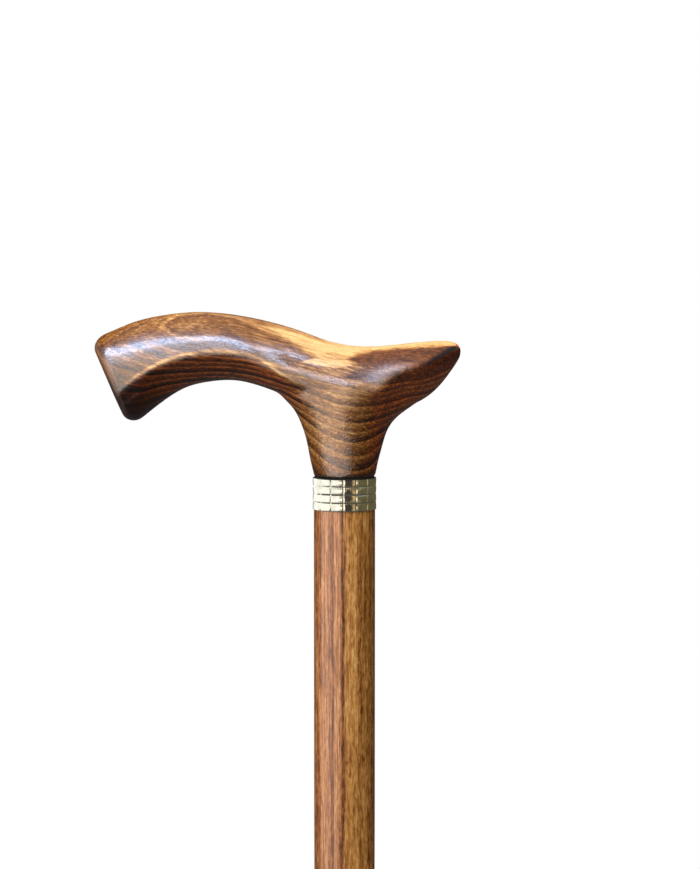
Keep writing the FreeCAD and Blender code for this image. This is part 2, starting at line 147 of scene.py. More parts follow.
class Shader:
    """One material's or the world's node tree."""

    def __init__(self, tree: bpy.types.NodeTree) -> None:
        """Empties the tree."""
        self.tree = tree
        tree.nodes.clear()

    def node(self, kind: str, settings: dict[str, Any] | None = None,
             inputs: dict[Any, Any] | None = None) -> list[Value]:
        """Adds a node.

        Args:
            kind: The node's type.
            settings: Its own settings, set first. A key "stops" fills a colour ramp.
            inputs: Values or links, by the socket's name or number.

        Returns:
            Its outputs, in order.
        """
        made = self.tree.nodes.new(kind)
        for name, value in (settings or {}).items():
            if name == "stops":
                self._fill_ramp(made.color_ramp, value)
            else:
                setattr(made, name, value)
        for key, value in (inputs or {}).items():
            socket = made.inputs[key]
            if isinstance(value, Value):
                value = value.socket
            if isinstance(value, bpy.types.NodeSocket):
                self.tree.links.new(value, socket)
            else:
                socket.default_value = value
        return [Value(self, socket) for socket in made.outputs]

    @staticmethod
    def _fill_ramp(ramp: bpy.types.ColorRamp, stops: Stops) -> None:
        """Gives a ramp its stops of place and colour."""
        while len(ramp.elements) > 1:
            ramp.elements.remove(ramp.elements[-1])
        for index, (place, colour) in enumerate(stops):
            element = ramp.elements[0] if index == 0 else ramp.elements.new(place)
            element.position = place
            element.color = (*colour, 1.0)

    def place(self, centre: Point = (0.0, 0.0, 0.0), scale: Point = (1.0, 1.0, 1.0)) -> Value:
        """Returns Object coordinates in millimetres from a centre in metres, scaled along each axis."""
        coordinates = self.node("ShaderNodeTexCoord")[COORDINATE_OBJECT]
        settings = {"operation": "SUBTRACT"}
        moved = self.node("ShaderNodeVectorMath", settings, {0: coordinates, 1: centre})[0]
        factor = tuple(share / MM for share in scale)
        return self.node("ShaderNodeVectorMath", {"operation": "MULTIPLY"}, {0: moved, 1: factor})[0]

    def split(self, vector: Value) -> list[Value]:
        """Returns the vector's three parts."""
        return self.node("ShaderNodeSeparateXYZ", None, {0: vector})

    def join(self, x: Any, y: Any, z: Any) -> Value:
        """Returns a vector of three values."""
        return self.node("ShaderNodeCombineXYZ", None, {0: x, 1: y, 2: z})[0]

    def noise(self, vector: Value, scale: float = 1.0, detail: float = 2.0, roughness: float = 0.5) -> Value:
        """Returns noise about 0.5."""
        inputs = {"Vector": vector, "Scale": scale, "Detail": detail, "Roughness": roughness}
        return self.node("ShaderNodeTexNoise", {"noise_dimensions": "3D"}, inputs)[0]

    def grain(self, place: Sequence[Value], scales: Point, detail: float = 2.0,
              roughness: float = 0.5) -> Value:
        """Returns noise about 0.5 that has its own scale along each axis."""
        scaled = self.join(*(part * scale for part, scale in zip(place, scales)))
        return self.noise(scaled, 1.0, detail, roughness)

    def ramp(self, value: Value, stops: Stops) -> Value:
        """Returns the colour of a ramp at the value."""
        return self.node("ShaderNodeValToRGB", {"stops": stops}, {0: value})[0]

    def table(self, value: Value, points: Table, limit: float) -> Value:
        """Returns what a table of (value, result) gives at the value. No result is larger than the limit."""
        first, last = points[0][0], points[-1][0]
        stops = []
        for place, result in points:
            grey = 0.5 + result / (2.0 * limit)
            stops.append(((place - first) / (last - first), (grey, grey, grey)))
        found = self.split(self.ramp((value - first) / (last - first), stops))[0]
        return (found - 0.5) * (2.0 * limit)

    def mix(self, factor: Any, first: Any, second: Any, blend: str = "MIX") -> Value:
        """Returns a blend of two colours."""
        inputs = {0: factor}
        for key, colour in ((MIX_FIRST, first), (MIX_SECOND, second)):
            inputs[key] = colour if isinstance(colour, Value) else (*colour, 1.0)
        return self.node("ShaderNodeMix", {"data_type": "RGBA", "blend_type": blend}, inputs)[MIX_RESULT]

    def bump(self, height: Value, depth: float, strength: float = 1.0) -> Value:
        """Returns a normal that follows a height in units of the depth, which is in metres."""
        inputs = {"Height": height, "Distance": depth, "Strength": strength}
        return self.node("ShaderNodeBump", None, inputs)[0]


def shaded(name: str, surface: Callable[[Shader], Value]) -> bpy.types.Material:
    """Makes a material from a function that takes its node tree and returns its surface."""
    material = bpy.data.materials.new(name)
    material.use_nodes = True
    shader = Shader(material.node_tree)
    shader.node("ShaderNodeOutputMaterial", None, {"Surface": surface(shader)})
    return material


def new_material(name: str, values: Callable[[Shader], dict[str, Any]]) -> bpy.types.Material:
    """Makes a material around one Principled shader, from a function that returns its inputs by name."""
    return shaded(name, lambda shader: shader.node("ShaderNodeBsdfPrincipled", None, values(shader))[0])


# Finishes


class Finish:
    """A finish, which makes a material from its own name and surface."""

    def material(self) -> bpy.types.Material:
        """Returns the material."""
        return new_material(self.name, self._surface)


@dataclass(frozen=True)
class Ring:
    """One growth ring, at its depth in millimetres along the layers' normal."""

    depth: float
    darkness: float


@dataclass(frozen=True)
class HandleWood(Finish):
    """Scorched and varnished beech, in layers that dip towards the front and the back of the handle.

    Places are in millimetres from the middle of the handle's foot. A table gives heights along the handle.
    """

    foot: Point
    name: str = "handle_wood"
    layer_normal: Point = (0.1, -0.72, 0.69)
    fibre_tilt: float = 16.0
    honey_depth: float = 35.5
    deepest: float = -12.0
    highest: float = 52.0
    layer_tone: float = 0.58
    ring_width: float = 0.35
    ring_contrast: float = 1.2
    table_limit: float = 60.0
    # A redder tint: the beak heart's own colour, and painted shade on the shaded underside, the beak's lower
    # side and the neck's right side.
    red_heart_and_shade_tint: Colour = (1.3, 0.62, 0.3)
    tones: Stops = (
        (0.0, (0.004, 0.0012, 0.0004)), (0.2, (0.038, 0.01, 0.0014)), (0.4, (0.12, 0.04, 0.006)),
        (0.5, (0.19, 0.07, 0.011)), (0.6, (0.29, 0.118, 0.024)), (0.8, (0.52, 0.27, 0.085)),
        (1.0, (0.78, 0.5, 0.21)),
    )
    rings: Sequence[Ring] = (
        Ring(-8.0, 0.26), Ring(-3.0, 0.34), Ring(1.5, 0.2), Ring(5.0, 0.34), Ring(8.4, 0.22),
        Ring(11.4, 0.36), Ring(15.2, 0.22), Ring(18.9, 0.38), Ring(21.6, 0.2), Ring(24.2, 0.4),
        Ring(26.6, 0.22), Ring(28.9, 0.34), Ring(31.4, 0.2), Ring(33.4, 0.26),
    )
    # Heights round the shoulder where the dark hearts end above and below.
    heart_tops: Table = (
        (-90.0, 18.0), (-70.0, 29.5), (-64.4, 34.3), (-61.6, 37.2), (-58.7, 38.8), (-53.7, 39.4),
        (-49.0, 39.3), (-44.0, 38.5), (-39.3, 37.2), (-34.5, 34.9), (-30.0, 33.0), (-25.2, 31.2),
        (-20.3, 29.2), (-12.0, 24.6), (-8.0, 21.0), (-4.5, 20.5), (-1.2, 24.0), (3.9, 27.4),
        (9.7, 29.3), (15.0, 29.5), (25.7, 29.5), (31.2, 29.9), (35.9, 29.6), (42.0, 27.0),
    )
    heart_feet: Table = (
        (-90.0, 50.0), (-70.0, 37.5), (-64.4, 34.2), (-62.9, 32.0), (-59.2, 29.8), (-54.3, 29.2),
        (-44.9, 28.2), (-40.0, 27.6), (-35.0, 26.6), (-30.4, 25.2), (-25.5, 23.2), (-18.5, 21.4),
        (-12.0, 22.8), (-8.0, 25.5), (-4.5, 26.5), (-1.2, 24.0), (1.1, 21.4), (5.2, 18.8), (9.3, 17.3),
        (13.6, 17.2), (18.9, 17.9), (24.5, 19.9), (30.4, 23.8), (35.8, 28.5), (42.0, 33.0),
    )
    # Where the honey-coloured sapwood begins, round the shoulder.
    sap_feet: Table = (
        (-90.0, 48.0), (-72.0, 43.0), (-62.0, 37.0), (-40.0, 33.0), (-25.0, 25.5), (-18.5, 21.8),
        (-14.3, 20.9), (-10.0, 20.4), (-4.5, 19.6), (-1.2, 20.2), (5.0, 22.0), (25.0, 26.0),
        (34.0, 29.0), (42.0, 31.0),
    )
    # The front shoulder's height, above which the tones of the crown show.
    shoulder_heights: Table = (
        (-90.0, 46.0), (-75.0, 49.4), (-41.0, 49.4), (-33.5, 46.5), (-27.0, 44.4), (-21.0, 41.0),
        (-14.5, 38.6), (-8.0, 36.8), (2.0, 35.8), (10.0, 36.0), (20.0, 37.5), (30.0, 40.0), (42.0, 43.0),
    )
    # The lower arris of the grip's flank, along which a light line is painted as the arris's glint.
    arris_heights: Table = (
        (-84.0, 30.0), (-79.7, 33.3), (-75.5, 36.4), (-70.3, 39.5), (-66.8, 41.2), (-63.3, 42.6),
        (-59.8, 43.6), (-56.2, 44.3), (-51.7, 45.0), (-47.5, 45.3), (-42.9, 44.9), (-38.0, 44.5),
        (-31.6, 42.4), (-25.6, 38.1), (-19.2, 33.8), (-10.0, 27.0),
    )
    # The sawn end of the grip: a place on its plane, its slope, and the light strip along its edge.
    end_place: float = -87.6
    end_height: float = 46.6
    end_slope: float = 0.378
    strip_height: float = 37.5
    strip_width: float = 1.7

    def layer_tones(self) -> Stops:
        """Returns the ramp of tones through the layers, from the deepest ring to the sapwood."""
        span = self.highest - self.deepest
        stops = []
        for ring in self.rings:
            place = (ring.depth - self.deepest) / span
            stops.append((place - self.ring_width / span, self.layer_tone))
            stops.append((place, self.layer_tone - ring.darkness * self.ring_contrast))
        honey = (self.honey_depth - self.deepest) / span
        stops += [(honey - 0.5 / span, self.layer_tone), (honey - 0.15 / span, 0.3)]
        return [(place, (tone, tone, tone)) for place, tone in stops]

    def _surface(self, shader: Shader) -> dict[str, Any]:
        """Returns the values of the handle's shader."""
        carving = Carving(shader, self)
        brown = shader.ramp(carving.tone(), self.tones)
        return {
            "Base Color": shader.mix(carving.red() * 0.75, brown, self.red_heart_and_shade_tint, "MULTIPLY"),
            "Roughness": carving.roughness(),
            "Normal": shader.bump(carving.relief(), MM),
            "Coat Weight": carving.coat(),
            "Coat Roughness": VARNISH_ROUGHNESS,
        }


class Carving:
    """The borders and fine patterns on the handle that its tone, its relief and its varnish follow."""

    def __init__(self, shader: Shader, wood: HandleWood) -> None:
        """Works out the patterns and the borders.

        Args:
            shader: The handle's shader.
            wood: The finish, with its tables.
        """
        self.shader = shader
        self.wood = wood
        self.place = shader.split(shader.place(wood.foot))
        self.x, self.y, self.z = self.place
        x, y, z = self.place
        # The fibres run along the grip and dip towards the beak.
        tilt = math.radians(wood.fibre_tilt)
        run = (x * math.cos(tilt) - z * math.sin(tilt), y, x * math.sin(tilt) + z * math.cos(tilt))
        self.wave = shader.grain(self.place, (0.05, 0.12, 0.12)) - 0.5
        self.fibre = shader.grain(run, (0.07, 1.1, 1.1), 3.0, 0.65) - 0.5
        self.hatch = shader.grain(run, (0.17, 2.4, 2.4), 2.0, 0.6) - 0.5
        self.fleck = shader.grain(run, (0.6, 1.5, 1.5), 2.0, 0.7) - 0.5
        self.vein = shader.grain(run, (0.03, 0.5, 0.5), 2.0, 0.6) - 0.5
        self.pebble = shader.grain(run, (1.2, 1.7, 1.7), 2.0, 0.6)
        self.layers = self._layers()
        # The height round the shoulder, which rises from the flank to the crest.
        self.girth = z * 0.72 - (y * y + 4.0) ** 0.5 * 0.69 + self.fibre * 0.9
        self.shoulder = self._table(wood.shoulder_heights) - self.wave * 3.0
        self.upper = (z - self.shoulder).step(-1.2, 0.6)
        self.over_foot = self.girth - self._table(wood.sap_feet) + self.wave * 1.5
        self.sap = self.over_foot.step(-0.5, 0.6)
        self.below_top = self._table(wood.heart_tops) - self.girth
        above_foot = self.girth - self._table(wood.heart_feet)
        self.inside = self.below_top.least(above_foot) + self.wave * 1.2
        self.core = self.inside.step(0.5, 3.2)
        self.beak = x.step(-6.0, 0.0)
        self.rise = z - self._table(wood.arris_heights) + self.fibre * 0.8
        self.below = self.rise.step(-0.2, -1.6) * x.step(-12.0, -24.0)
        # How far a place is from the sawn end of the grip.
        self.gap = x - wood.end_place - (wood.end_height - z) * wood.end_slope
        self.cap = self.gap.step(1.3, 0.5)
        self.satin = self.upper * x.step(-18.0, -4.0)

    def _table(self, points: Table) -> Value:
        """Returns what a table gives along the handle."""
        return self.shader.table(self.x, points, self.wood.table_limit)

    def _layers(self) -> Value:
        """Returns the tone of the growth rings."""
        shader, wood = self.shader, self.wood
        x, y, z = self.place
        normal = wood.layer_normal
        slow = shader.grain(self.place, (0.016, 0.03, 0.03)) - 0.5
        # The layers are rounded where their two dips meet, at the middle of the handle.
        front = (y * y + 40.0) ** 0.5
        depth = x * normal[0] - front * normal[1] + z * normal[2] + slow * 0.8 + self.wave * 0.8
        share = (depth + self.fibre * 0.8 - wood.deepest) / (wood.highest - wood.deepest)
        return shader.split(shader.ramp(share, wood.layer_tones()))[0]

    def tone(self) -> Value:
        """Returns how light the wood is, from 0 to 1."""
        faint = self.shader.grain(self.place, (0.06, 0.06, 0.06)).step(0.3, 0.55)
        tone = 0.5 + (self.layers - 0.5) * (0.75 + faint * 0.45)
        tone = self._crown(tone)
        tone = self._sapwood(tone)
        tone = self._hearts(tone)
        tone = self._flank(tone)
        tone = tone + self.fibre * 0.5 + self.hatch * 0.85 + self.fleck * 0.4
        tone = self._arris(tone)
        tone = self._grip_end(tone)
        return tone * (1.0 - self._dark_corner_and_foot() * 0.85)

    def _crown(self, tone: Value) -> Value:
        """Adds the plain brown crown of the grip and its one faint ring."""
        crown = self.upper * self.x.step(-14.0, -24.0)
        tone = tone.toward(0.5 + self.wave * 0.6, crown)
        ring = (self.girth - (self.x + 84.0) * 0.47 - 31.0 + self.wave * 2.0).hump(0.0, 1.3)
        return tone - ring * self.upper * self.x.step(-66.0, -72.0) * 0.12

    def _sapwood(self, tone: Value) -> Value:
        """Adds the honey-coloured sapwood and the amber border below it."""
        amber = self.over_foot.step(-4.2, -1.6) * self.x.step(-24.0, -16.0) * self.x.step(14.0, 2.0)
        tone = tone.toward(0.6 + self.fibre * 0.5, amber)
        ripe = self.x.step(-36.0, -14.0)
        crest = self.y.size().step(5.2, 3.4) * self.x.step(2.0, -12.0)
        honey = 0.7 + ripe * 0.24 - crest * (0.1 + ripe * 0.12) + self.wave * 0.35 + self.vein * 0.5
        return tone.toward(honey, self.sap)

    def _hearts(self, tone: Value) -> Value:
        """Adds the dark hearts, and the light fringe round the grip's heart."""
        fringe = self.inside.hump(-1.2, 1.6) * self.x.step(-50.0, -56.0) * self.upper
        tone = tone + fringe * 0.13
        soft = self.beak.most(self.x.step(-42.0, -26.0) * self.below_top.step(3.0, 1.0))
        heart = self.inside.step(-0.4, 0.5) * (1.0 - soft) + self.inside.step(-0.9, 2.6) * soft
        dark_tail = self.x.hump(-21.0, 10.0)
        heart_tone = 0.42 + self.core * 0.12 - dark_tail * 0.08 + self.beak * (0.06 - self.core * 0.26)
        return tone.toward(heart_tone + self.wave * 0.3, heart)

    def _flank(self, tone: Value) -> Value:
        """Adds the lighter and darker parts of the neck and the flank, with painted light on the neck's left
        side.
        """
        x, z = self.x, self.z
        plain = (1.0 - self.upper) * (1.0 - self.sap)
        # The neck's left side is made lighter: painted light, on the side the light falls on.
        left = x.step(0.0, -8.0) * x.step(-22.0, -14.0) * z.step(34.0, 26.0)
        tone = tone + plain * (x.hump(-2.0, 16.0) * z.step(8.0, 20.0) * 0.1 - x.step(-25.0, -62.0) * 0.05)
        return tone + plain * (left * 0.1 + x.step(12.0, 22.0) * 0.09)

    def _arris(self, tone: Value) -> Value:
        """Adds the painted glint along the arris, the wood below it and the dark line of painted shade under
        the beak's arris.
        """
        run = self.x.step(-82.0, -78.0) * self.x.step(-16.0, -26.0)
        # The light line along the arris is a painted highlight: the arris's glint, painted as paler wood.
        painted_glint = self.rise.hump(0.5, 1.3) * self.y.size().step(4.0, 7.0) * run
        tone = tone + painted_glint * 0.42 + self.below * (0.08 + (self.layers - 0.5) * 0.6)
        # The dark line along the beak's arris is painted shade.
        line = (self.z - 35.0 - (self.x - 15.7) * 0.47 + self.wave * 1.5).hump(0.0, 1.1)
        return tone - line * self.x.step(20.0, 36.0) * 0.42

    def _grip_end(self, tone: Value) -> Value:
        """Adds the light strip along the grip's sawn end and the dark line beside it."""
        wood = self.wood
        width = wood.strip_width - (self.z - wood.strip_height).size() ** 2.0 * 0.022
        strip = (width - self.gap).step(-0.2, 0.3) * self.z.hump(wood.strip_height, 11.0)
        line = (self.gap - width).hump(0.2, 0.45) * self.z.hump(wood.strip_height, 9.0)
        return tone.toward(0.6 + self.hatch * 0.5, strip) - line * 0.16

    def _dark_corner_and_foot(self) -> Value:
        """Returns how much the wood is darkened, from 0 to 1: towards the grip's lower end corner and at the
        neck's foot.
        """
        # Darkens the grip's lower end corner and the foot of the neck.
        corner = (self.x * 0.5 + self.z).step(6.0, -15.0)
        return corner.most(self.z.step(3.2, 0.2) * 0.8)

    def red(self) -> Value:
        """Returns where the wood is redder: in the beak's heart as its own colour, and below the arris, on
        the beak's lower side and on the neck's right side as a redder tint of painted shade.
        """
        under_beak = (self.z - self.x * 0.45).step(33.0, 25.0) * self.x.step(8.0, 16.0)
        neck = self.z.step(34.0, 28.0) * self.x.step(4.0, 12.0)
        return self.below.most(under_beak).most(neck).most(self.core * self.beak * 0.35)

    def relief(self) -> Value:
        """Returns the height of the carving's fine relief, in millimetres."""
        x, z = self.x, self.z
        ripple = self.shader.grain(self.place, (1.5, 1.5, 1.5), 1.0)
        rippled = (1.0 - self.upper * x.step(-16.0, -26.0) * 0.7) * (1.0 - self.below * 0.8)
        palm = z.step(34.0, 26.0) * x.step(-20.0, -12.0)
        height = self.pebble * 0.06 + self.hatch * 0.04 + ripple * rippled * (0.1 + palm * 0.12)
        height = height + self.rise.step(-6.0, 0.3) * x.step(-40.0, -72.0) * 1.7
        # The shoulder by the neck bulges a little lower down, which carries the bright band down with it.
        bulge = (self.shoulder + 4.0 - z).step(0.0, 8.0)
        return height + bulge * x.step(-32.0, -20.0) * x.step(10.0, -2.0) * 1.7

    def roughness(self) -> Value:
        """Returns the roughness, which is highest on the sawn end."""
        return 0.19 + self.pebble * 0.12 + self.satin * 0.07 + self.cap * 0.3

    def coat(self) -> Value:
        """Returns the varnish, which is broken by the pores and worn off the satin parts and the end."""
        end = self.x.step(-62.0, -70.0) * self.below
        kept = (1.0 - end) * (1.0 - self.satin) * (1.0 - self.cap)
        thick = 0.6 + self.x.hump(-45.0, 30.0) * 0.3
        return (self.pebble + self.hatch * 0.3).step(0.2, 0.76) * kept * thick


@dataclass(frozen=True)
class ShaftWood(Finish):
    """Stained and varnished beech, with upright fibres and a few dark ring lines."""

    name: str = "shaft_wood"
    # How much lighter or darker the wood is across the shaft, by the place in millimetres. The darkening
    # towards the right edge is painted shade.
    bands: Table = (
        (-12.0, -0.1), (-8.7, -0.1), (-7.9, 0.09), (-6.9, 0.07), (-6.2, -0.02), (-4.9, 0.0),
        (-4.5, -0.22), (-4.1, -0.22), (-3.6, 0.11), (-1.8, 0.07), (-1.3, -0.06), (-0.95, -0.28),
        (-0.5, -0.32), (0.1, 0.08), (2.5, 0.16), (4.5, 0.12), (5.5, 0.03), (8.5, 0.02), (10.0, -0.08),
        (12.0, -0.12),
    )
    band_limit: float = 0.4
    # The direction across the shaft, square to the camera's line of sight.
    sideways: tuple[float, float] = (0.99, -0.139)
    drift: float = 2.2
    # A bluish tint on the shaft's left half is a painted sheen: the reflection of the bright surroundings on
    # the varnish.
    painted_sheen_tint: Colour = (0.96, 0.88, 1.25)
    tones: Stops = (
        (0.0, (0.03, 0.008, 0.001)), (0.25, (0.15, 0.048, 0.008)), (0.5, (0.37, 0.15, 0.03)),
        (0.75, (0.6, 0.29, 0.075)), (1.0, (0.8, 0.48, 0.18)),
    )

    def _surface(self, shader: Shader) -> dict[str, Any]:
        """Returns the values of the shaft's shader."""
        place = shader.split(shader.place())
        x, y, z = place
        drift = shader.grain(place, (0.03, 0.03, 0.012), 3.0) - 0.5
        across = x * self.sideways[0] + y * self.sideways[1] + drift * self.drift
        fibre = shader.grain(place, (2.0, 2.0, 0.06), 3.0, 0.65) - 0.5
        vein = shader.grain(place, (0.6, 0.6, 0.016), 3.0, 0.6) - 0.5
        # Small waving figure, strongest on the lighter side.
        bend = shader.grain(place, (0.25, 0.25, 0.09)) * 5.0
        figure = shader.noise(shader.join(x * 1.1 + bend, y * 1.1 + bend, z * 0.2), 1.0, 3.0, 0.7) - 0.5
        pores = shader.grain(place, (1.8, 1.8, 0.35)) - 0.5
        side = across.step(-3.0, 3.0)
        tone = 0.5 + shader.table(across + fibre * 0.5, self.bands, self.band_limit)
        tone = tone + vein * 0.7 + fibre * (1.5 - side * 0.5) + figure * (0.5 + side * 0.75) + pores * 0.55
        return {
            # The left half is tinted with the painted sheen.
            "Base Color": shader.mix(1.0 - side, shader.ramp(tone, self.tones), self.painted_sheen_tint, "MULTIPLY"),
            "Roughness": 0.26 + pores * 0.2,
            "Normal": shader.bump(pores * 0.5 + fibre * 0.5, 0.3 * MM, 0.5),
            "Coat Weight": 0.1,
            "Coat Roughness": VARNISH_ROUGHNESS,
        }


@dataclass(frozen=True)
class Metal(Finish):
    """A bare or plated metal with fine turning marks and a little wear."""

    name: str
    colour: Colour
    roughness: float
    mark_depth: float = 0.01 * MM
    wear: float = 0.82

    def _surface(self, shader: Shader) -> dict[str, Any]:
        """Returns the values of the metal's shader."""
        haze = shader.noise(shader.place(), 0.35, 3.0)
        marks = shader.noise(shader.place(scale=(0.1, 0.1, 9.0)))
        dull = tuple(part * self.wear for part in self.colour)
        return {
            "Base Color": shader.mix(haze.step(0.4, 0.7), self.colour, dull),
            "Metallic": 1.0,
            "Roughness": self.roughness + haze * 0.06,
            "Normal": shader.bump(marks, self.mark_depth, 0.5),
        }


@dataclass(frozen=True)
class Rubber(Finish):
    """Moulded black rubber, dusty where it meets the ground."""

    name: str
    colour: Colour = (0.018, 0.018, 0.019)
    dust: Colour = (0.11, 0.105, 0.1)
    grain_depth: float = 0.12 * MM

    def _surface(self, shader: Shader) -> dict[str, Any]:
        """Returns the values of the rubber's shader."""
        place = shader.place()
        z = shader.split(place)[2]
        blotch = shader.noise(place, 0.12, 3.0)
        grain = shader.noise(place, 1.8, 3.0, 0.6)
        worn = z.step(6.0, 0.0) * blotch.step(0.35, 0.65) + blotch.step(0.45, 0.8) * 0.15
        return {
            "Base Color": shader.mix(worn.least(1.0), self.colour, self.dust),
            "Roughness": 0.55 + grain * 0.25,
            "Normal": shader.bump(grain, self.grain_depth, 0.5),
        }


# Mesh tools


def leave_edit() -> None:
    """Goes back to object mode."""
    bpy.ops.object.mode_set(mode="OBJECT")


def deselect_all() -> None:
    """Deselects every object, in object mode."""
    if bpy.context.object and bpy.context.object.mode != "OBJECT":
        leave_edit()
    bpy.ops.object.select_all(action="DESELECT")


def make_active(piece: bpy.types.Object) -> None:
    """Selects one object alone and makes it active."""
    deselect_all()
    piece.select_set(True)
    bpy.context.view_layer.objects.active = piece


def apply_place(piece: bpy.types.Object, name: str) -> bpy.types.Object:
    """Names the piece and moves its place into its mesh."""
    make_active(piece)
    bpy.ops.object.transform_apply(location=True, rotation=True, scale=True)
    piece.name = name
    piece.data.name = name
    return piece


def apply_modifier(piece: bpy.types.Object, name: str, kind: str, **settings: Any) -> None:
    """Adds a modifier to the active piece, with its settings, and applies it."""
    modifier = piece.modifiers.new(name, kind)
    for key, value in settings.items():
        setattr(modifier, key, value)
    bpy.ops.object.modifier_apply(modifier=modifier.name)


def edit_all() -> None:
    """Enters edit mode with the whole of the active piece selected."""
    bpy.ops.object.mode_set(mode="EDIT")
    bpy.ops.mesh.select_all(action="SELECT")


def select_vertices(piece: bpy.types.Object, wanted: Callable[[Vector], bool]) -> None:
    """Selects the active piece's vertices whose places are wanted, and leaves it in edit mode."""
    bpy.ops.object.mode_set(mode="EDIT")
    bpy.ops.mesh.select_mode(type="VERT")
    bpy.ops.mesh.select_all(action="DESELECT")
    leave_edit()
    for vertex in piece.data.vertices:
        vertex.select = wanted(vertex.co)
    bpy.ops.object.mode_set(mode="EDIT")


def turned(name: str, profile: Table, segments: int, bevel: float = 0.0) -> bpy.types.Object:
    """Turns a closed outline about the Z axis, ring by ring.

    Args:
        name: The piece's name.
        profile: (radius, height) of each corner. The first and the last are joined, or closed on the axis.
        segments: How many faces go round.
        bevel: The width of the rounding along its edges.

    Returns:
        The piece.
    """
    deselect_all()
    radius, height = profile[0]
    bpy.ops.mesh.primitive_circle_add(vertices=segments, radius=radius, location=(0.0, 0.0, height))
    piece = apply_place(bpy.context.object, name)
    edit_all()
    for next_radius, next_height in profile[1:]:
        bpy.ops.mesh.extrude_edges_move()
        share = next_radius / radius
        bpy.ops.transform.resize(value=(share, share, 1.0), center_override=(0.0, 0.0, height))
        bpy.ops.transform.translate(value=(0.0, 0.0, next_height - height))
        radius, height = next_radius, next_height
    bpy.ops.mesh.select_all(action="SELECT")
    bpy.ops.mesh.remove_doubles(threshold=1e-7)
    bpy.ops.mesh.select_all(action="DESELECT")
    bpy.ops.mesh.select_non_manifold()
    bpy.ops.mesh.edge_face_add()
    bpy.ops.mesh.select_all(action="SELECT")
    bpy.ops.mesh.normals_make_consistent(inside=False)
    leave_edit()
    if bevel:
        apply_modifier(piece, "rounding", "BEVEL", width=bevel, segments=3, limit_method="ANGLE")
    bpy.ops.object.shade_smooth_by_angle(angle=SMOOTH_ANGLE)
    return piece


def dress(piece: bpy.types.Object, material: bpy.types.Material) -> None:
    """Gives a piece one material all over."""
    piece.data.materials.clear()
    piece.data.materials.append(material)


# Sub-assemblies


@dataclass
class Handle:
    """The carved derby handle: a fine skin over the CAD handle, with its carved edges softened."""

    grid: float = 0.55 * MM
    smoothing_rounds: int = 8
    smoothing_share: float = 0.5
    name: str = HANDLE

    def build(self) -> bpy.types.Object:
        """Makes the handle from a merged copy of its node."""
        deselect_all()
        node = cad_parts["handle"]
        piece = bpy.data.objects.new(self.name, node.data.copy())
        bpy.context.scene.collection.objects.link(piece)
        make_active(piece)
        edit_all()
        bpy.ops.mesh.remove_doubles(threshold=NEAR)
        leave_edit()
        apply_modifier(piece, "skin", "REMESH", mode="VOXEL", voxel_size=self.grid)
        edit_all()
        bpy.ops.mesh.vertices_smooth(factor=self.smoothing_share, repeat=self.smoothing_rounds)
        leave_edit()
        bpy.ops.object.shade_smooth()
        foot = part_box("handle")[0].z
        dress(piece, HandleWood((0.0, 0.0, foot)).material())
        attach(piece, Body.STICK.value)
        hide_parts("handle")
        return piece


@dataclass
class Shaft:
    """The turned shaft, from its chamfered tip to the spigot inside the collar."""

    spigot_length: float = 11.2 * MM
    parallel_length: float = 110.0 * MM
    tip_radius: float = 9.5 * MM
    spigot_radius: float = 10.65 * MM
    bore_radius: float = 4.05 * MM
    bore_depth: float = 35.5 * MM
    tip_chamfer: float = 1.0 * MM
    segments: int = 128
    name: str = SHAFT

    def build(self) -> bpy.types.Object:
        """Makes the shaft from its outline, which runs down from the bore for the stud."""
        low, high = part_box("shaft")
        radius = high.x
        shoulder = high.z - self.spigot_length
        parallel_foot = shoulder - self.parallel_length
        piece = turned(self.name, [
            (self.bore_radius, high.z - self.bore_depth),
            (self.bore_radius, high.z),
            (self.spigot_radius, high.z),
            (self.spigot_radius, shoulder),
            (radius, shoulder),
            (radius, parallel_foot),
            (self.tip_radius, low.z + self.tip_chamfer),
            (self.tip_radius - self.tip_chamfer, low.z),
        ], self.segments)
        dress(piece, ShaftWood().material())
        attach(piece, Body.STICK.value)
        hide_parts("shaft")
        return piece


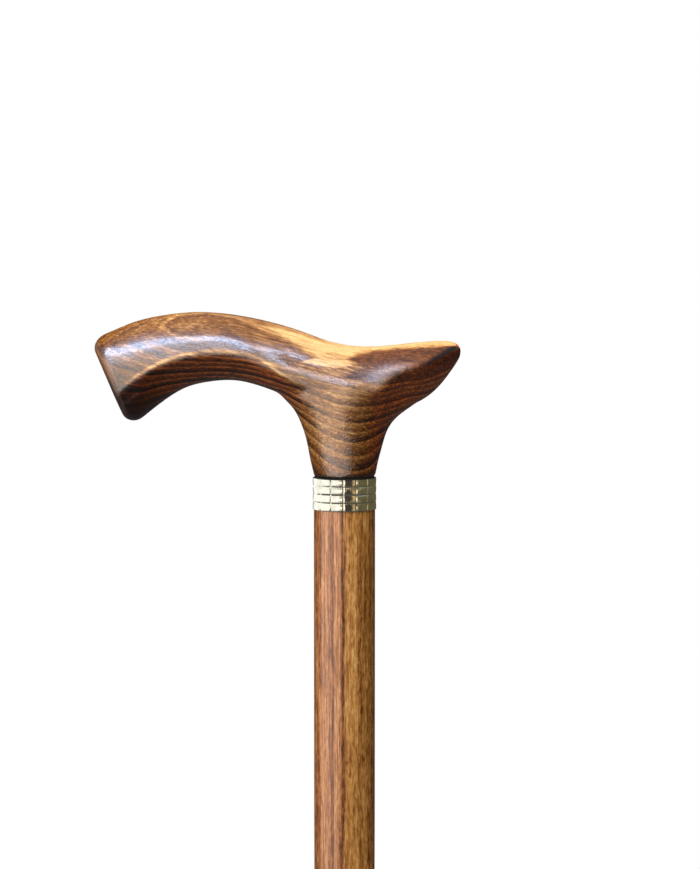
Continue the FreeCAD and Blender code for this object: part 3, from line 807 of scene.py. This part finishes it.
@dataclass
class Collar:
    """The engraved collar: rows of pads between ring grooves and upright grooves."""

    columns: int = 15
    faces_per_pad: int = 8
    turn: float = 14.0
    row_pitch: float = 2.9 * MM
    groove_width: float = 0.6 * MM
    groove_depth: float = 0.36 * MM
    groove_tolerance: float = 0.2
    wall: float = 0.7 * MM
    edge: float = 0.15 * MM
    edge_angle: float = 60.0
    smooth_angle: float = 35.0
    metal: Metal = Metal("collar_metal", (0.8, 0.75, 0.57), 0.12)
    name: str = COLLAR

    def build(self) -> bpy.types.Object:
        """Makes the collar from a cylinder whose grooves are cut along its lines and then pressed in."""
        low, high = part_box("collar")
        middle = (low.z + high.z) / 2.0
        rows = [middle + self.row_pitch * row for row in (-1, 0, 1)]
        deselect_all()
        bpy.ops.mesh.primitive_cylinder_add(
            vertices=self.columns * self.faces_per_pad, radius=high.x, depth=high.z - low.z,
            end_fill_type="NOTHING", location=(0.0, 0.0, middle),
            rotation=(0.0, 0.0, math.radians(self.turn + 180.0)))
        piece = apply_place(bpy.context.object, self.name)
        bpy.ops.object.mode_set(mode="EDIT")
        for row in rows:
            bpy.ops.mesh.select_all(action="SELECT")
            bpy.ops.mesh.bisect(plane_co=(0.0, 0.0, row), plane_no=(0.0, 0.0, 1.0))
        leave_edit()

        def on_line(place: Vector) -> bool:
            """Says whether a vertex lies on a line of the engraving."""
            angle = math.degrees(math.atan2(place.y, place.x)) + 90.0 - self.turn
            step = 360.0 / self.columns
            upright = abs(angle / step - round(angle / step)) * step < self.groove_tolerance
            return upright or any(abs(place.z - row) < NEAR for row in rows)

        select_vertices(piece, on_line)
        bpy.ops.mesh.bevel(offset=self.groove_width / 2.0, segments=2, profile=0.5)
        leave_edit()
        select_vertices(piece, on_line)
        share = 1.0 - self.groove_depth / high.x
        bpy.ops.transform.resize(value=(share, share, 1.0), center_override=(0.0, 0.0, middle))
        leave_edit()
        apply_modifier(piece, "rounding", "SUBSURF", levels=1, render_levels=1)
        apply_modifier(piece, "wall", "SOLIDIFY", thickness=self.wall, offset=-1.0)
        apply_modifier(piece, "edges", "BEVEL", width=self.edge, segments=2, limit_method="ANGLE",
                       angle_limit=math.radians(self.edge_angle))
        bpy.ops.object.shade_smooth_by_angle(angle=math.radians(self.smooth_angle))
        dress(piece, self.metal.material())
        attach(piece, Body.STICK.value)
        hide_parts("collar")
        return piece


@dataclass
class Ferrule:
    """The moulded ferrule: a ringed socket on a flared foot, with rings in its tread."""

    socket_radius: float = 9.56 * MM
    mouth_radius: float = 9.63 * MM
    barrel_radius: float = 12.83 * MM
    floor_height: float = 8.0 * MM
    foot_height: float = 9.0 * MM
    cone_height: float = 12.0 * MM
    ring_foot: float = 22.4 * MM
    ring_pitch: float = 4.2 * MM
    ring_width: float = 1.4 * MM
    ring_depth: float = 0.8 * MM
    ring_count: int = 3
    tread_radii: Sequence[float] = (15.6 * MM, 11.2 * MM, 6.8 * MM)
    tread_width: float = 1.2 * MM
    tread_depth: float = 1.0 * MM
    edge: float = 1.0 * MM
    rounding: float = 0.25 * MM
    segments: int = 96
    name: str = "moulded_ferrule"

    def build(self) -> bpy.types.Object:
        """Makes the ferrule from its outline: up the socket, down the barrel and in along the tread."""
        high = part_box("ferrule")[1]
        outer = self.barrel_radius
        inner = outer - self.ring_depth
        outline = [
            (self.socket_radius, self.floor_height),
            (self.mouth_radius, high.z),
            (outer - self.edge, high.z),
            (outer, high.z - self.edge),
        ]
        for ring in reversed(range(self.ring_count)):
            foot = self.ring_foot + self.ring_pitch * ring
            head = foot + self.ring_width
            outline += [(outer, head), (inner, head), (inner, foot), (outer, foot)]
        outline += [
            (outer, self.foot_height + self.cone_height),
            (high.x, self.foot_height),
            (high.x, self.edge),
            (high.x - self.edge, 0.0),
        ]
        for radius in self.tread_radii:
            rim = radius + self.tread_width
            outline += [(rim, 0.0), (rim, self.tread_depth), (radius, self.tread_depth), (radius, 0.0)]
        outline.append((self.tread_radii[-1] / 2.0, 0.0))
        piece = turned(self.name, outline, self.segments, self.rounding)
        dress(piece, Rubber("ferrule_rubber").material())
        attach(piece, Body.FERRULE.value)
        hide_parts("ferrule")
        return piece


@dataclass
class Joint:
    """The hidden pieces of the joint and the ferrule's disc, which stay as the CAD made them."""

    finishes: dict[str, Any] = field(default_factory=lambda: {
        "handle_insert": Metal("insert_brass", (0.72, 0.53, 0.25), 0.28),
        "joining_stud": Metal("stud_steel", (0.62, 0.62, 0.64), 0.3),
        "neck_washer": Rubber("black_fibre", (0.012, 0.012, 0.012), (0.03, 0.03, 0.03)),
        "ferrule_disc": Metal("disc_steel", (0.58, 0.58, 0.6), 0.35),
    })

    def dress(self) -> None:
        """Gives each of the nodes its own finish."""
        for name, finish in self.finishes.items():
            dress(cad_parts[name], finish.material())
            log.info("dressed %s", name)


# Studio


@dataclass(frozen=True)
class Board:
    """A bright or dark board round the handle that only reflections see.

    Its corners are (azimuth, elevation) in degrees, seen from the handle and measured from the camera's
    azimuth. Its distance is in metres. With no piece in only_for, every piece reflects it.
    """

    name: str
    corners: Sequence[tuple[float, float]]
    colour: Colour
    strength: float
    distance: float
    only_for: Sequence[str] = ()


@dataclass(frozen=True)
class Card:
    """A small flat card close to the handle that only reflections see, in metres on an upright plane."""

    name: str
    low: Point
    high: Point
    colour: Colour
    strength: float


@dataclass(frozen=True)
class Lamp:
    """An area lamp that points at the handle, in metres, watts and degrees that are measured as a board's."""

    name: str
    azimuth: float
    elevation: float
    distance: float
    size: tuple[float, float]
    power: float
    colour: Colour


@dataclass
class Studio:
    """The floor, the background, the lights and the camera."""

    centre: Point = (0.0, 0.0, 0.8751)
    azimuth: float = -8.0
    elevation: float = 4.5
    distance: float = 0.9
    sensor: float = 36.0
    pixels_high: float = 869.0
    pixels_per_mm: float = 2.79
    centre_pixel: tuple[float, float] = (344.5, 434.1)
    image_middle: tuple[float, float] = (350.0, 434.5)
    floor_radius: float = 2.4
    room_radius: float = 4.0
    ceiling_height: float = 3.2
    room_colour: Colour = (0.05, 0.045, 0.04)
    ceiling_colour: Colour = (0.35, 0.42, 0.5)
    dimmest_light: float = 0.17
    light_rise: float = 0.7
    warm_light: Colour = (1.0, 0.6, 0.26)
    white: Colour = (1.0, 1.0, 1.0)
    paper: Sequence[Colour] = ((0.8, 0.8, 0.8), (0.84, 0.84, 0.84))
    mirrored_floor: Colour = (0.1, 0.1, 0.1)
    boards: Sequence[Board] = (
        Board("window", ((28.5, 26.5), (28.5, 35.0), (-60.0, 50.2), (-60.0, 35.0)),
              (0.54, 0.7, 1.0), 29.0, 2.4, (HANDLE,)),
        Board("wall", ((-24.0, -40.0), (-24.0, 42.0), (-66.0, 42.0), (-66.0, -43.8)),
              (1.0, 0.9, 0.8), 5.2, 2.6, (HANDLE,)),
        Board("wall_end", ((-24.0, -9.0), (26.0, -9.0), (28.0, 27.0), (-24.0, 44.0)),
              (1.0, 0.88, 0.74), 4.6, 2.8, (HANDLE,)),
        # Near enough to stand above the floor, which hides the lower parts of the other boards.
        Board("low_wall", ((-66.0, -19.0), (-66.0, -47.0), (-30.0, -50.0), (6.0, -50.0), (6.0, -19.0)),
              (1.0, 0.86, 0.74), 4.3, 1.1, (HANDLE,)),
        Board("wall_foot", ((-24.0, -56.0), (-4.0, -54.0), (24.0, -28.0), (26.0, -9.0), (-24.0, -9.0)),
              (1.0, 0.88, 0.76), 2.6, 3.0, (HANDLE,)),
        Board("shaft_wall", ((-10.0, -40.0), (-10.0, 40.0), (-100.0, 15.0), (-100.0, -14.0)),
              (1.0, 0.93, 0.9), 2.6, 3.0, (SHAFT,)),
        Board("plate_wall", ((-19.5, -40.0), (-19.5, 40.0), (-155.0, 5.0), (-155.0, -14.0)),
              (0.96, 1.0, 1.12), 1.35, 3.2, (COLLAR,)),
        Board("plate_edge", ((-19.5, -40.0), (-19.5, 40.0), (-5.5, 40.0), (-5.5, -40.0)),
              (1.0, 1.0, 1.0), 0.6, 3.3, (COLLAR,)),
        Board("plate_side", ((52.0, -40.0), (52.0, 40.0), (155.0, 30.0), (155.0, -30.0)),
              (1.0, 1.0, 0.5), 0.085, 3.4, (COLLAR,)),
        Board("plate_top", tuple((azimuth, 42.0) for azimuth in range(-180, 180, 45)),
              (1.0, 0.97, 0.8), 1.0, 3.1, (COLLAR,)),
        Board("warm_strip", ((30.0, -50.0), (49.0, -50.0), (49.0, 40.0), (30.0, 40.0)),
              (0.66, 0.5, 0.3), 1.0, 2.9),
    )
    cards: Sequence[Card] = (
        Card("edge_card", (-0.105, -0.16, 0.838), (-0.035, -0.16, 0.858), (1.0, 0.86, 0.72), 4.0),
    )
    lamps: Sequence[Lamp] = (
        Lamp("key_light", -48.0, 36.0, 1.6, (0.9, 0.7), 17.0, (1.0, 0.97, 0.93)),
        Lamp("left_light", -82.0, 2.0, 1.2, (0.5, 0.9), 4.0, (1.0, 0.95, 0.88)),
        Lamp("top_light", 20.0, 74.0, 1.5, (1.0, 0.8), 14.0, (1.0, 0.94, 0.84)),
    )

    def direction(self, azimuth: float, elevation: float) -> Vector:
        """Returns the unit vector from the centre at angles that are measured from the camera's azimuth."""
        around = math.radians(azimuth + self.azimuth)
        up = math.radians(elevation)
        return Vector((math.sin(around) * math.cos(up), -math.cos(around) * math.cos(up), math.sin(up)))

    def _aim(self, thing: bpy.types.Object, azimuth: float, elevation: float, distance: float) -> None:
        """Puts a camera or a lamp at a distance from the centre and points it there."""
        back = self.direction(azimuth, elevation)
        thing.location = Vector(self.centre) + back * distance
        thing.rotation_mode = "QUATERNION"
        thing.rotation_quaternion = (-back).to_track_quat("-Z", "Y")

    def build(self) -> None:
        """Makes everything that isn't the object."""
        self._camera()
        self._world()
        self._floor()
        self._room()
        for board in self.boards:
            self._board(board)
        for card in self.cards:
            self._card(card)
        for lamp in self.lamps:
            self._lamp(lamp)

    def _camera(self) -> None:
        """Sets the camera where the photograph was taken from."""
        data = bpy.data.cameras.new("camera")
        camera = bpy.data.objects.new("camera", data)
        bpy.context.scene.collection.objects.link(camera)
        self._aim(camera, 0.0, self.elevation, self.distance)
        data.sensor_width = self.sensor
        frame_height = self.pixels_high / self.pixels_per_mm * MM
        data.lens = self.sensor * self.distance / frame_height
        data.shift_x = (self.image_middle[0] - self.centre_pixel[0]) / self.pixels_high
        data.shift_y = (self.centre_pixel[1] - self.image_middle[1]) / self.pixels_high
        data.clip_start = 0.01
        data.clip_end = 50.0
        bpy.context.scene.camera = camera

    def _world(self) -> None:
        """Makes a white background with a plain light that is weaker from below and from the right."""
        world = bpy.data.worlds.new("studio")
        world.use_nodes = True
        bpy.context.scene.world = world
        shader = Shader(world.node_tree)
        x, y, z = shader.split(shader.node("ShaderNodeTexCoord")[COORDINATE_GENERATED])
        rise = (z * 0.8 - x * 0.5 - y * 0.2).step(-0.6, 1.0)
        plain = self.dimmest_light + rise * self.light_rise
        ray = shader.node("ShaderNodeLightPath")
        seen = ray[RAY_CAMERA].most(ray[RAY_GLOSSY]).most(ray[RAY_TRANSMISSION])
        strength = plain + seen * (1.0 - plain)
        colour = shader.mix(rise.step(0.0, 0.5).most(seen), self.warm_light, self.white)
        background = shader.node("ShaderNodeBackground", None, {"Color": colour, "Strength": strength})
        shader.node("ShaderNodeOutputWorld", None, {"Surface": background[0]})

    def _floor(self) -> None:
        """Makes a pale round floor that fades into the background at its edge and is dark in reflections."""
        deselect_all()
        bpy.ops.mesh.primitive_circle_add(vertices=96, radius=self.floor_radius, fill_type="NGON")
        floor = apply_place(bpy.context.object, "floor")
        dress(floor, shaded("floor", self._floor_surface))

    def _floor_surface(self, shader: Shader) -> Value:
        """Returns the floor's surface."""
        away = shader.node("ShaderNodeVectorMath", {"operation": "LENGTH"}, {0: shader.place()})[1]
        edge = away.step(self.floor_radius / MM * 0.35, self.floor_radius / MM * 0.95)
        grain = shader.noise(shader.place(), 0.02)
        paper = shader.mix(grain, *self.paper)
        ray = shader.node("ShaderNodeLightPath")
        seen = ray[RAY_CAMERA].most(ray[RAY_TRANSMISSION])
        colour = shader.mix(seen, self.mirrored_floor, paper)
        pale = shader.node("ShaderNodeBsdfDiffuse", None, {"Color": colour})[0]
        white = shader.node("ShaderNodeEmission", None, {"Color": (*self.white, 1.0), "Strength": 1.0})[0]
        return shader.node("ShaderNodeMixShader", None, {0: edge * seen, 1: pale, 2: white})[0]

    def _room(self) -> None:
        """Makes the room that the varnish reflects where there is no board: dark, with a pale ceiling."""
        shells = (("room", False, self.room_colour), ("ceiling", True, self.ceiling_colour))
        for name, above, colour in shells:
            deselect_all()
            bpy.ops.mesh.primitive_uv_sphere_add(segments=48, ring_count=24, radius=self.room_radius)
            shell = apply_place(bpy.context.object, name)
            edit_all()
            bpy.ops.mesh.bisect(plane_co=(0.0, 0.0, self.ceiling_height), plane_no=(0.35, 0.0, 1.0),
                                clear_inner=above, clear_outer=not above)
            leave_edit()
            self._glow(shell, colour, 1.0)

    def _board(self, board: Board) -> None:
        """Makes one board as a patch of a large ball, cut along the lines from corner to corner."""
        deselect_all()
        bpy.ops.mesh.primitive_uv_sphere_add(segments=96, ring_count=48, radius=board.distance)
        patch = apply_place(bpy.context.object, board.name)
        directions = [self.direction(*corner) for corner in board.corners]
        middle = sum(directions, Vector((0.0, 0.0, 0.0)))
        bpy.ops.object.mode_set(mode="EDIT")
        for first, second in zip(directions, directions[1:] + directions[:1]):
            inward = first.cross(second).normalized()
            if inward.dot(middle) < 0.0:
                inward = -inward
            bpy.ops.mesh.select_all(action="SELECT")
            bpy.ops.mesh.bisect(plane_co=(0.0, 0.0, 0.0), plane_no=inward, clear_inner=True)
        leave_edit()
        patch.location = self.centre
        apply_place(patch, board.name)
        self._glow(patch, board.colour, board.strength, board.only_for)

    def _card(self, card: Card) -> None:
        """Makes one small flat card."""
        deselect_all()
        upright = (math.pi / 2, 0.0, 0.0)
        bpy.ops.mesh.primitive_grid_add(x_subdivisions=4, y_subdivisions=4, size=1.0, rotation=upright)
        patch = bpy.context.object
        patch.scale = (card.high[0] - card.low[0], card.high[2] - card.low[2], 1.0)
        patch.location = tuple((low + high) / 2 for low, high in zip(card.low, card.high))
        apply_place(patch, card.name)
        self._glow(patch, card.colour, card.strength)

    @staticmethod
    def _glow(patch: bpy.types.Object, colour: Colour, strength: float, only_for: Sequence[str] = ()) -> None:
        """Makes a patch glow in reflections alone.

        Args:
            patch: The patch.
            colour: Its colour.
            strength: Its brightness, where 1 is white.
            only_for: The pieces that reflect it. With none, all of them do.
        """

        def surface(shader: Shader) -> Value:
            """Returns the glow. The patch is clear to the pieces that don't reflect it."""
            inputs = {"Color": (*colour, 1.0), "Strength": strength}
            glow = shader.node("ShaderNodeEmission", None, inputs)[0]
            if not only_for:
                return glow
            clear = shader.node("ShaderNodeBsdfTransparent")[0]
            return shader.node("ShaderNodeAddShader", None, {0: glow, 1: clear})[0]

        dress(patch, shaded(patch.name, surface))
        if only_for:
            pieces = bpy.data.collections.new(patch.name + "_pieces")
            for name in only_for:
                pieces.objects.link(bpy.data.objects[name])
            patch.light_linking.receiver_collection = pieces
        for rays in ("camera", "diffuse", "transmission", "volume_scatter", "shadow"):
            setattr(patch, "visible_" + rays, False)

    def _lamp(self, lamp: Lamp) -> None:
        """Hangs one lamp, which isn't seen in reflections."""
        data = bpy.data.lights.new(lamp.name, "AREA")
        data.shape = "RECTANGLE"
        data.size, data.size_y = lamp.size
        data.energy = lamp.power
        data.color = lamp.colour
        hung = bpy.data.objects.new(lamp.name, data)
        bpy.context.scene.collection.objects.link(hung)
        self._aim(hung, lamp.azimuth, lamp.elevation, lamp.distance)
        hung.visible_glossy = False


def main() -> None:
    """Builds the sub-assemblies in order."""
    logging.basicConfig(level=logging.INFO, format="%(name)s: %(message)s")
    for part in (Handle(), Shaft(), Collar(), Ferrule()):
        piece = part.build()
        log.info("built %s with %d faces", piece.name, len(piece.data.polygons))
    Joint().dress()
    Studio().build()
    bpy.context.scene.view_settings.view_transform = "Standard"


if __name__ == "__main__":
    main()
